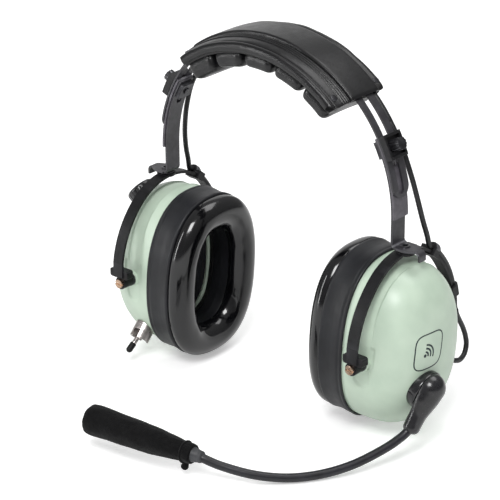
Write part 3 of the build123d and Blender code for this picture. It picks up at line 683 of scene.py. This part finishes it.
def build_cover():
    y, section_radius = spline(closed(COVER), 2)[:-1].T
    corner = np.clip(np.where(y > 0, (y - (PAD_REAR - PAD_CORNER)) / PAD_CORNER,
                              (PAD_FRONT + PAD_CORNER - y) / PAD_CORNER), 0, 1)
    edge = np.clip((np.abs(y + 3) - 9) / 14, 0, 1)
    sections = []
    for a in np.linspace(PAD_START, PAD_END, 120):
        to_start, to_end = a - PAD_START, PAD_END - a
        k = min(to_start, to_end)
        # rounded corners in plan at both ends, and a flap at the front right one
        pull = 2.6 * corner ** 2.6 * np.exp(-(k / 4.0) ** 2)
        flap = corner ** 2.0 * np.exp(-(to_end / 4.0) ** 2) * (y < 0)
        angle = (a + pull if to_start < to_end else a - pull) + flap * 1.7
        # soft leather: slow undulation, most at the free edges, and fine unevenness
        slow = (np.array([noise_at(a * 0.16, v * 0.09, 4.2) for v in y])
                * np.where(y < 0, 0.22, 0.5) * edge)
        fine = np.array([noise_at(a * 0.5, v * 0.3, 1.7) for v in y]) * 0.05
        radius = section_radius - flap * 0.35 + slow + fine
        if k < 0.9:
            q = 1 - (1 - k / 0.9) ** 2
            radius = 84.6 + (radius - 84.6) * (0.86 + 0.14 * q)
        sections.append(arch(radius, angle, y))
    cover = skin("pad_cover", sections, ends="flat", sharp=60)
    finish_piece(cover, "headband", "pad_leather", replaces=("head_pad_cover",))


def build_backing():
    y, radius = spline(closed(BACKING), 3)[:-1].T
    angles = np.linspace(PAD_START + 0.6, PAD_END - 0.6, 90)
    backing = skin("pad_backing", [arch(radius, a, y) for a in angles], sharp=60)
    finish_piece(backing, "headband", "pad_leather", replaces=("head_pad_cushion",))


def arch_coords(obj):
    """Arch radius and angle in degrees, and Y, of an object's points."""
    x, y, z = (get_points(obj) / MM).T
    return np.hypot(x, z - ARCH_Z), np.degrees(np.arctan2(z - ARCH_Z, x)), y


def build_pillow(name, centre, inner):
    """Cushion under the backing, centred on an arch angle."""
    bm = bmesh.new()
    bmesh.ops.create_cube(bm, size=2.0)
    bmesh.ops.subdivide_edges(bm, edges=bm.edges[:], cuts=11, use_grid_fill=True)
    half = np.array([PILLOW_HALF_T, PILLOW_HALF_Y, (PILLOW_OUTER - inner) / 2])
    middle = (PILLOW_OUTER + inner) / 2
    for v in bm.verts:
        p = np.array(v.co[:]) * half
        core = np.clip(p, -(half - PILLOW_ROUND), half - PILLOW_ROUND)
        length = np.linalg.norm(p - core)
        p = core + ((p - core) / length * PILLOW_ROUND if length > 1e-9 else 0)
        un, vn = p[0] / half[0], p[1] / half[1]
        # sides pull in between the corners, and the face is crowned
        p[0] *= 1 - 0.05 * (1 - vn * vn)
        p[1] *= 1 - 0.015 * (1 - un * un)
        if p[2] < 0:
            p[2] -= 0.9 * (1 - un * un) * (1 - vn ** 4)
        spot = arch(np.array(middle + p[2]), centre + math.degrees(p[0] / PILLOW_MEAN),
                    PILLOW_Y + p[1])
        v.co = Vector(spot * MM)
    mesh = bpy.data.meshes.new(name)
    bm.to_mesh(mesh)
    bm.free()
    mesh.shade_smooth()
    pillow = add_object(name, mesh)
    puff(pillow, cap=0.7, pinned=arch_coords(pillow)[0] > PILLOW_PIN)
    subdivide(pillow)
    # sewn seam round the waist of the pillow
    radius, angle, y = arch_coords(pillow)
    t = (angle - centre) / math.degrees(1 / PILLOW_MEAN)
    y = y - PILLOW_Y
    on_ends = np.abs(t) / PILLOW_HALF_T > np.abs(y) / PILLOW_HALF_Y
    groove = 0.12 * np.exp(-((radius - (inner + 3.6)) / 0.45) ** 2)
    t = np.where(on_ends, t - np.sign(t) * groove, t)
    y = np.where(~on_ends, y - np.sign(y) * groove, y)
    set_points(pillow, arch(radius, centre + np.degrees(t / PILLOW_MEAN), PILLOW_Y + y) * MM)
    pillow.data.update()
    finish_piece(pillow, "headband", "pad_leather")


def build_snaps():
    caps = []
    for angle in (51, 125.5):
        for y, radius in ((-20.5, 86.4), (15.1, 86.9)):
            a = math.radians(angle)
            caps.append(lathe("snap", arch(np.array(radius), angle, y),
                              [math.cos(a), 0, math.sin(a)], SNAP, 32))
    finish_piece(join_pieces("pad_snap_caps", caps), "headband", "screw_black",
                 replaces=("pad_snaps",))


build_cover()
build_backing()
pillow_step = (PAD_END - PAD_START) / 5
for i, inner in enumerate(PILLOW_INNER):
    build_pillow("pad_pillow_%d" % (i + 1), PAD_START + (i + 0.5) * pillow_step, inner)
build_snaps()

# ---------------------------------------------------------------------- cords
CORD_RADIUS = 1.5
CROWN_RADIUS, CROWN_END, CROWN_Y = 84.6, 35, 9.7     # crossover cord on the arch
# stirrup arm outline in the YZ plane: a side arc through (half width, 0) meets a crown arc
ARM_X, ARM_CROWN_R, ARM_HALF_Y, ARM_TOP = 89.2, 38.0, 43.9, 51.15
ARM_SIDE_R = ((ARM_HALF_Y ** 2 - ARM_CROWN_R ** 2 + (ARM_TOP - ARM_CROWN_R) ** 2)
              / (2 * (ARM_HALF_Y - ARM_CROWN_R)))
CORD_OFFSET = 0.8 + CORD_RADIUS + 0.25               # from the outline to the cord's centre
SPLIT_Z = 86.0                                       # where the hanging span is cut in two
# left-hand points between the headband and the arm, from the top down
SPAN = [(77.0, 10.3, 105.6), (80.6, 11.2, 96.0), (83.6, 12.4, 86.0), (86.2, 14.2, 74.0),
        (87.8, 16.6, 63.0), (88.7, 19.2, 54.5)]
# left-hand points of the loose loop from the arm to the cup
LOOP = [(88.9, 46.8, 2.5), (88.7, 48.9, -3.0), (88.7, 52.0, -8.5), (89.1, 55.3, -14.5),
        (89.7, 57.3, -20.5), (90.5, 57.2, -25.6), (91.4, 54.4, -29.8), (92.3, 49.2, -31.4),
        (92.8, 44.0, -30.0)]
ENTRY_IN, ENTRY_OUT = np.array([91.6, 27.6, -24.6]), np.array([92.6, 36.2, -26.6])
# (height, radius) of the band over the top clip
BAND = [(0, 2.4), (0.0, 3.0), (0.3, 3.25), (1.9, 3.3), (3.5, 3.25), (3.8, 3.0), (3.8, 2.4)]


def on_arm(degrees):
    """Cord centre on the rear of the left arm, at height ARM_TOP * sin(angle)."""
    z = ARM_TOP * math.sin(math.radians(degrees))
    if z <= (ARM_TOP - ARM_CROWN_R) * ARM_SIDE_R / (ARM_SIDE_R - ARM_CROWN_R):
        cy, cz, r = -(ARM_SIDE_R - ARM_HALF_Y), 0.0, ARM_SIDE_R
    else:
        cy, cz, r = 0.0, ARM_TOP - ARM_CROWN_R, ARM_CROWN_R
    y = cy + math.sqrt(r * r - (z - cz) ** 2)
    return np.array([ARM_X, y + CORD_OFFSET * (y - cy) / r, z + CORD_OFFSET * (z - cz) / r])


def cord(name, path, body=None, replaces=(), blend=None):
    """Cord riding a body, or, when blend is given, a free cord baked into the headset's frame;
    the bodies and points in blend are not used.
    """
    if blend:
        body_a, body_b, point_a, point_b = blend
        blend = (body_a, body_b, tuple(point_a * MM), tuple(point_b * MM))
    finish_piece(tube(name, path, CORD_RADIUS), body, "cord_pvc", replaces, blend)


def build_side_cords(tag, side, span, arm):
    mirror = np.array([side, 1, 1.0])
    hanger, yoke = "hanger_" + tag, "yoke_" + tag
    cut = int(np.argmin(np.abs(span[:, 2] - SPLIT_Z)))
    upper, lower = span[:cut + 1] * mirror, span[cut:] * mirror
    cord("cord_span_upper_" + tag, upper, replaces=("cord_span_" + tag,),
         blend=("headband", hanger, upper[0], upper[-1]))
    cord("cord_span_lower_" + tag, lower, blend=(hanger, yoke, lower[0], lower[-1]))
    cord("cord_on_arm_" + tag, arm * mirror, yoke, ("cord_arm_" + tag,))
    leave = unit(arm[-1] - arm[-2])
    entry = unit(ENTRY_OUT - ENTRY_IN)
    points = [p * mirror for p in [arm[-1], arm[-1] + leave * 2.5] + [np.array(q) for q in LOOP]]
    points += [tilted(p, side) for p in (ENTRY_OUT + entry * 3.2, ENTRY_OUT + entry * 0.5,
                                         ENTRY_IN - entry * 0.8)]
    loop = smooth_path(points, 90)
    cord("cord_loop_soft_" + tag, loop, replaces=("cord_loop_" + tag,),
         blend=("cup_" + tag, yoke, loop[-6], loop[3]))
    along = unit(on_arm(55) - on_arm(57))
    band = lathe("clip_band_" + tag, (on_arm(57) - along * 1.9) * mirror, along * mirror,
                 BAND, 36)
    finish_piece(band, yoke, "band_grey")


crown = [arch(np.array(CROWN_RADIUS), a, CROWN_Y)
         for a in np.linspace(CROWN_END, 180 - CROWN_END, 90)]
cord("cord_crossover", crown, "headband", ("cord_crown",))
arm = np.array([on_arm(a) for a in np.linspace(61, 9, 60)])
span_start = crown[0]
crown_angle = math.radians(CROWN_END)
span_leave = np.array([math.sin(crown_angle), 0, -math.cos(crown_angle)])
span = smooth_path([span_start, span_start + span_leave * 5, *SPAN,
                    arm[0] - unit(arm[1] - arm[0]) * 2.2, arm[0]], 110, per=14)
for tag, side in SIDES:
    build_side_cords(tag, side, span, arm)

# ----------------------------------------------------------------------- boom
SEAT, SEAT_AXIS = np.array([111.2, -9.3, -21.8]), unit([0.9555, 0, -0.2951])
BULB = SEAT + SEAT_AXIS * 3.5 + np.array([1.34, -1.26, 4.34])    # centre of the elbow's ball
NECK_END = np.array([112.6, -23.1, -39.65])
NECK = NECK_END - BULB
NECK_AXIS = unit(NECK)
MIC_START, MIC_END = np.array([36.0, -117.4, -42.8]), np.array([-31.6, -125.4, -41.6])
MIC_AXIS = unit(MIC_END - MIC_START)
MIC_LENGTH = np.linalg.norm(MIC_END - MIC_START)
# lathe profiles of (height, radius)
FLANGE = [(-8.0, 10.4), (-6.0, 11.0), (-2.0, 11.55), (0.4, 11.8), (1.1, 11.8), (1.6, 11.55),
          (1.85, 11.0), (1.9, 9.0), (1.9, 2.0)]
ELBOW_DISC = [(2.0, 8.8), (2.3, 9.4), (3.4, 9.5), (4.4, 9.0), (5.2, 7.5)]
COLLAR = [(0, 2.6), (0.2, 3.1), (0.6, 3.35), (1.4, 3.45), (1.8, 3.3), (2.2, 3.45), (5.0, 4.1),
          (7.6, 4.8), (8.6, 4.9), (9.2, 4.6)]
MUFF = [(-2.4, 3.9), (-2.6, 4.9), (-2.0, 5.5), (0, 5.75), (1.6, 5.75), (3.0, 5.35),
        (4.6, 5.6), (8, 6.1), (14, 6.7), (22, 7.4), (32, 7.95), (44, 8.3), (56, 8.6),
        (MIC_LENGTH - 6, 8.8), (MIC_LENGTH - 3.0, 8.75), (MIC_LENGTH - 1.3, 8.45),
        (MIC_LENGTH - 0.5, 7.8), (MIC_LENGTH - 0.1, 6.6), (MIC_LENGTH, 5.0),
        (MIC_LENGTH + 0.05, 2.0)]
# neck radius by share of its length
NECK_AT = [0, 0.15, 0.32, 0.5, 0.66, 0.9, 0.96, 1]
NECK_RADIUS = [8.2, 8.0, 7.3, 6.1, 5.1, 4.75, 4.85, 4.75]
# (height of the lumps, noise scale along the muff, noise scale round it)
MUFF_LUMPS = [(0.34, 0.10, 2.2), (0.07, 0.5, 7), (0.03, 1.6, 14)]
# boom centre line between the elbow and the microphone
BOOM = [(107.0, -40.4, -47.4), (99.5, -57.1, -52.4), (90.1, -73.0, -54.9),
        (79.1, -87.5, -54.9), (66.5, -100.3, -52.2), (52.0, -110.6, -47.6)]


def build_elbow():
    """Disc, ball and neck melted into one skin that sits on the flange."""
    disc = lathe("disc", SEAT, SEAT_AXIS, ELBOW_DISC, 64)
    ball = lathe("ball", BULB - SEAT_AXIS * 8.4, SEAT_AXIS,
                 [(8.4 - 8.4 * math.cos(q), 8.5 * math.sin(q))
                  for q in np.linspace(0.12, math.pi - 0.12, 24)], 64)
    share = np.linspace(0.0, 1, 30)
    neck = tube("neck", [BULB + NECK_AXIS * (t * np.linalg.norm(NECK)) for t in share],
                np.interp(share, NECK_AT, NECK_RADIUS), 48)
    elbow = join_pieces("boom_elbow_soft", [disc, ball, neck])
    remesh = elbow.modifiers.new("r", "REMESH")
    remesh.mode = "VOXEL"
    remesh.voxel_size = 0.00055
    smooth = elbow.modifiers.new("s", "SMOOTH")
    smooth.factor = 0.5
    smooth.iterations = 14
    apply_modifiers(elbow)
    # press whatever dips below the flange's face flat against it
    points = get_points(elbow) / MM
    below = np.minimum((points - SEAT) @ SEAT_AXIS - 2.02, 0)
    set_points(elbow, (points - below[:, None] * SEAT_AXIS) * MM)
    finish_piece(elbow, "boom_arm", "elbow_rubber", replaces=("boom_elbow",))


def build_boom_tube():
    leave = unit([-0.26, -0.88, -0.40])
    centre = smooth_path([NECK_END - NECK_AXIS * 1.5,
                          NECK_END + leave * 6.5 + np.array([0, 0, -0.6]), *BOOM,
                          MIC_START - MIC_AXIS * 5, MIC_START + MIC_AXIS * 4], 150, per=16)
    radii = np.full(len(centre), 2.5)
    radii[:4] = np.linspace(2.9, 2.5, 4)
    finish_piece(tube("boom_tube_soft", centre, radii, 28), "boom", "boom_sleeve",
                 replaces=("boom_tube",))


def muff_wobble(h, angles):
    return np.array([sum(lump * noise_at(h * along, around * math.cos(t), around * math.sin(t))
                         for lump, along, around in MUFF_LUMPS) for t in angles])


def build_muff_tie():
    """Ring round the muff's open end, with a short tail hanging from it."""
    centre = MIC_START + MIC_AXIS * 3.0
    across = unit(np.cross(MIC_AXIS, [0, 0, 1]))
    upright = np.cross(MIC_AXIS, across)
    section = ring_angles(12)[:, None]
    sections = []
    for t in ring_angles(48):
        outward = math.cos(t) * across + math.sin(t) * upright
        sections.append(centre + 5.75 * outward
                        + 0.75 * (np.cos(section) * outward + np.sin(section) * MIC_AXIS))
    ring = skin("ring", sections, ends="join")
    tail_points = centre + np.array([(0.3, 0, -5.4), (0.0, 0, -7.0), (-0.5, 0.1, -8.6),
                                     (-1.0, 0.1, -9.6)])
    tail = tube("tail", smooth_path(tail_points, 16), np.linspace(1.4, 2.2, 16), 18)
    finish_piece(join_pieces("muff_tie_soft", [ring, tail]), "boom", "muff_foam",
                 replaces=("muff_tie",))


finish_piece(lathe("boom_flange", SEAT, SEAT_AXIS, FLANGE, 96, sharp=50), "cup_left",
             "elbow_gloss", ("boom_seat",))
build_elbow()
build_boom_tube()
finish_piece(lathe("mic_collar_soft", MIC_START - MIC_AXIS * 8.2, MIC_AXIS, COLLAR, 40),
             "boom", "collar_grey", ("mic_collar",))
finish_piece(lathe("mic_muff_soft", MIC_START, MIC_AXIS, even(MUFF, 150), 96,
                   wobble=muff_wobble), "boom", "muff_foam", replaces=("mic_muff",))
build_muff_tie()


# --------------------------------------------------- finishes on the CAD nodes
def finish_cad(name, obj, slot):
    mat = "seal_boot" if slot == "seal_vinyl" else slot
    if name.startswith("volume_knob"):
        mat = "elbow_rubber"
    obj.data.materials.clear()
    obj.data.materials.append(MATS.get(mat, MATS["block_plastic"]))
    if obj.hide_render:
        return
    weld = obj.modifiers.new("weld", "WELD")
    weld.merge_threshold = 0.000004
    big = any(key in name for key in ("stirrup", "clamp_block", "cord_clips"))
    bevel = obj.modifiers.new("bevel", "BEVEL")
    bevel.width = 0.00038 if big else 0.00016
    bevel.segments = 2
    bevel.limit_method = "ANGLE"
    bevel.angle_limit = math.radians(38)
    bevel.harden_normals = False
    obj.modifiers.new("wn", "WEIGHTED_NORMAL").keep_sharp = False


cad_slots = {part["node"]: part["material_slot"] for part in frame["record"].get("subparts", [])}
for name, obj in frame["nodes"].items():
    finish_cad(name, obj, cad_slots.get(name, "block_plastic"))

# ------------------------------------------------------------ floor and light
FLOOR_HALF, FLOOR_GAP, FLOOR_POINTS = 6000, 0.6, 13


def floor_material():
    """Near-white floor with a faint glow that only the camera sees."""
    made = bpy.data.materials.new("floor_pale")
    made.use_nodes = True
    tree = made.node_tree
    shader = tree.nodes["Principled BSDF"]
    patches = node(tree, "TexNoise", {"Scale": 3.0})
    mix = node(tree, "Mix", {"A": (0.93, 0.93, 0.93, 1), "B": (0.95, 0.95, 0.95, 1)},
               data_type="RGBA")
    tree.links.new(patches.outputs["Fac"], mix.inputs["Factor"])
    tree.links.new(mix.outputs["Result"], shader.inputs["Base Color"])
    rays = node(tree, "LightPath")
    glow = node(tree, "Math", {1: 0.36}, operation="MULTIPLY")
    tree.links.new(rays.outputs["Is Camera Ray"], glow.inputs[0])
    tree.links.new(glow.outputs[0], shader.inputs["Emission Strength"])
    shader.inputs["Emission Color"].default_value = (1, 1, 1, 1)
    shader.inputs["Roughness"].default_value = 0.95
    shader.inputs["Specular IOR Level"].default_value = 0.0
    return made


def build_floor():
    n = FLOOR_POINTS
    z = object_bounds()[0][2] / MM - FLOOR_GAP
    grid = np.linspace(-FLOOR_HALF, FLOOR_HALF, n)
    verts = [(x, y, z) for y in grid for x in grid]
    faces = [(j * n + i, j * n + i + 1, (j + 1) * n + i + 1, (j + 1) * n + i)
             for j in range(n - 1) for i in range(n - 1)]
    floor = mesh_object("floor", verts, faces)
    floor.data.materials.append(floor_material())


def build_world():
    """White surround, brighter overhead; the camera sees it at full white."""
    world = bpy.data.worlds.new("studio")
    scene.world = world
    world.use_nodes = True
    tree = world.node_tree
    background = tree.nodes["Background"]
    background.inputs[0].default_value = (1, 1, 1, 1)
    coords = node(tree, "TexCoord")
    split = node(tree, "SeparateXYZ")
    tree.links.new(coords.outputs["Generated"], split.inputs[0])
    glow = map_range(tree, split.outputs["Z"], start=-0.2, end=1.0, low=0.16, high=0.42)
    rays = node(tree, "LightPath")
    strength = node(tree, "Math", operation="MAXIMUM")
    tree.links.new(glow, strength.inputs[0])
    tree.links.new(rays.outputs["Is Camera Ray"], strength.inputs[1])
    tree.links.new(strength.outputs[0], background.inputs[1])


def area_light(name, at, target, size, power, size_y=None):
    """Area light; places and sizes in metres, power in watts."""
    light = bpy.data.lights.new(name, "AREA")
    light.energy = power
    light.size = size
    if size_y:
        light.shape = "RECTANGLE"
        light.size_y = size_y
    obj = add_object(name, light)
    obj.location = at
    obj.rotation_mode = "QUATERNION"
    obj.rotation_quaternion = (Vector(target) - Vector(at)).to_track_quat("-Z", "Y")


build_floor()
build_world()
area_light("key", at=(0.5, -0.95, 1.2), target=(0.02, 0, 0.03), size=0.6, power=15.5)
area_light("fill", at=(0.2, 0.5, 1.4), target=(0.03, 0, 0.06), size=0.9, power=8.0)
area_light("strip", at=(-0.75, -0.95, 0.25), target=(0.0, 0, 0.0), size=0.10, power=4.2,
           size_y=0.9)
area_light("rim", at=(-1.0, 0.9, 0.5), target=(0, 0, 0.08), size=1.1, power=2.2)

# --------------------------------------------------------------------- camera
CAMERA_AT = Vector((0.77698, -0.91181, 0.55423))     # metres
CAMERA_RIGHT = Vector((0.761, 0.6487, 0)).normalized()
CAMERA_UP = Vector((-0.2724, 0.3195, 0.9076)).normalized()
CAMERA_BACK = Vector((0.5887, -0.6907, 0.4199)).normalized()
AIM_LEFT, AIM_UP = 0.0133188343, 0.0186254893        # slopes that turn the view off -BACK


def build_camera():
    data = bpy.data.cameras.new("camera")
    data.sensor_width = 36
    data.lens = 165.528
    data.clip_start = 0.01
    data.clip_end = 50
    camera = add_object("camera", data)
    look = (-AIM_LEFT * CAMERA_RIGHT + AIM_UP * CAMERA_UP - CAMERA_BACK).normalized()
    right = look.cross(CAMERA_UP).normalized()
    up = right.cross(look).normalized()
    placed = Matrix((right, up, -look)).transposed().to_4x4()
    placed.translation = CAMERA_AT
    camera.matrix_world = placed
    scene.camera = camera


build_camera()
scene.view_settings.view_transform = "Standard"
scene.view_settings.look = "None"
